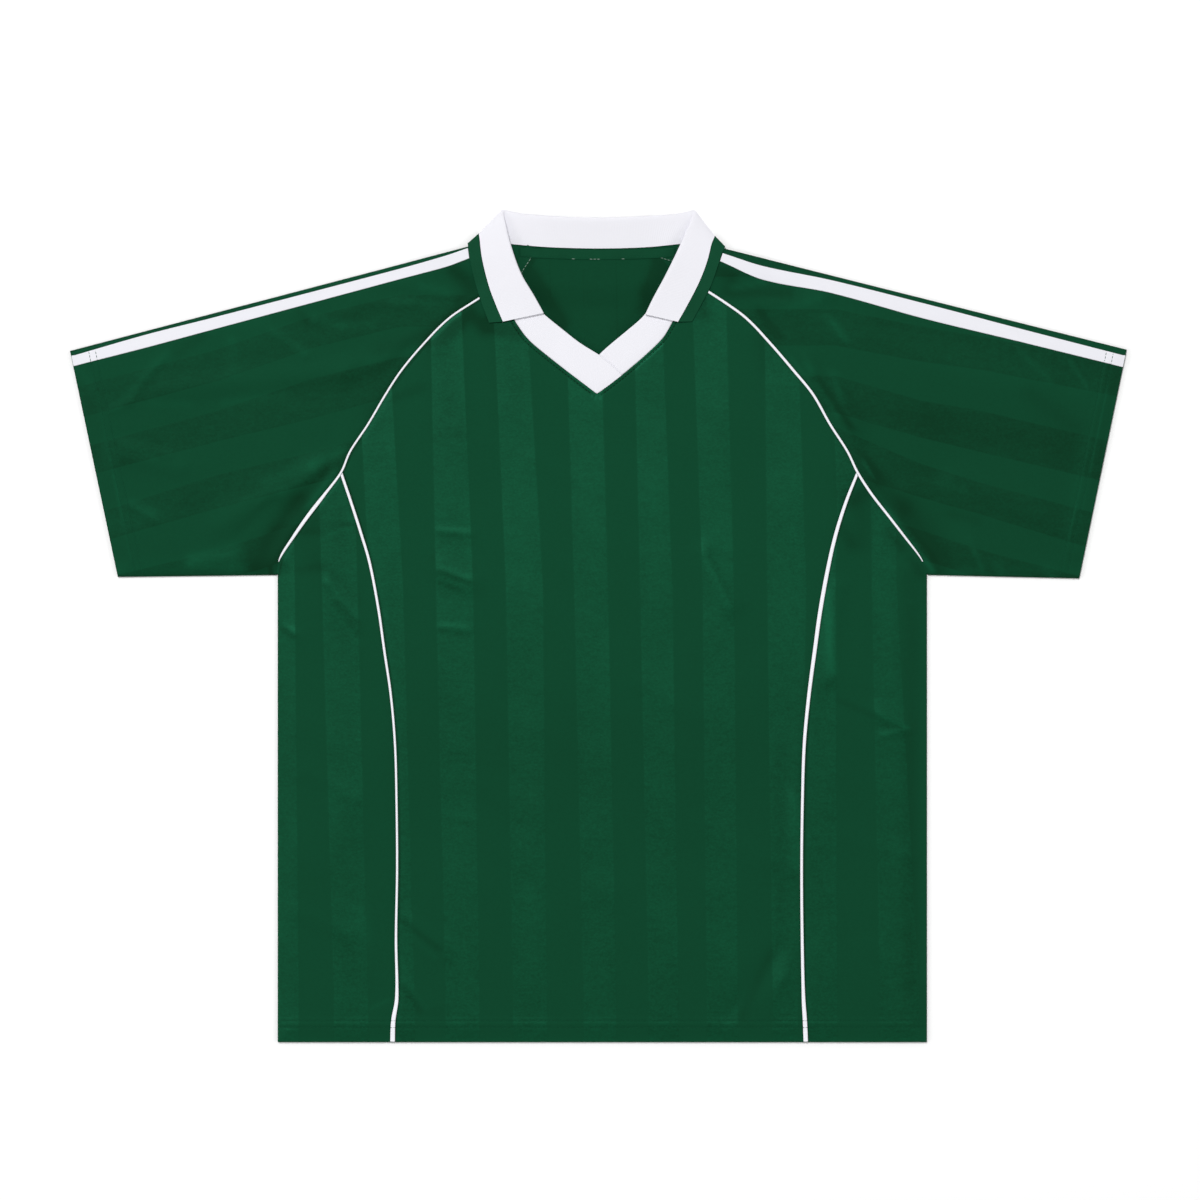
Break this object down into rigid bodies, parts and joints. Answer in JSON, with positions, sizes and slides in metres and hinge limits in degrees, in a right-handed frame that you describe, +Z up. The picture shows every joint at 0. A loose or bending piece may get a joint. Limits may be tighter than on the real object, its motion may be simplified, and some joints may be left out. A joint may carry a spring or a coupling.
{
  "type": "football jersey laid flat",
  "caption": "Short-sleeved football jersey laid flat on its back, with raglan sleeves, piped seams, a fold-over rib collar and a crossed rib V neck.",
  "frame": {"origin": "on the floor under the middle of the laid garment's box", "axes": "+X across the sleeves to the viewer's right, +Y from the hem to the collar, +Z up out of the front"},
  "size_m": [0.975, 0.7678, 0.0123],
  "materials": {
    "body_knit": "green knit with tonal satin and matt stripes",
    "sleeve_knit": "green satin knit with faint tonal stripes",
    "white_tape": "smooth white tape",
    "white_piping": "white piping",
    "white_rib": "fine white rib knit",
    "green_rib": "fine green rib knit",
    "green_tape": "green neck tape"
  },
  "bodies": {
    "root": {"front_body": "body_knit", "back_body": "body_knit", "front_side_left": "body_knit", "front_side_right": "body_knit", "sleeve_left": "sleeve_knit", "sleeve_right": "sleeve_knit", "sleeve_stripe_left": "white_tape", "sleeve_stripe_right": "white_tape", "piping_raglan_left": "white_piping", "piping_raglan_right": "white_piping", "piping_side_left": "white_piping", "piping_side_right": "white_piping", "neck_band_left": "white_rib", "neck_band_right": "white_rib", "collar": "white_rib", "collar_trim": "green_rib", "back_neck_tape": "green_tape"}
  },
  "joints": []
}
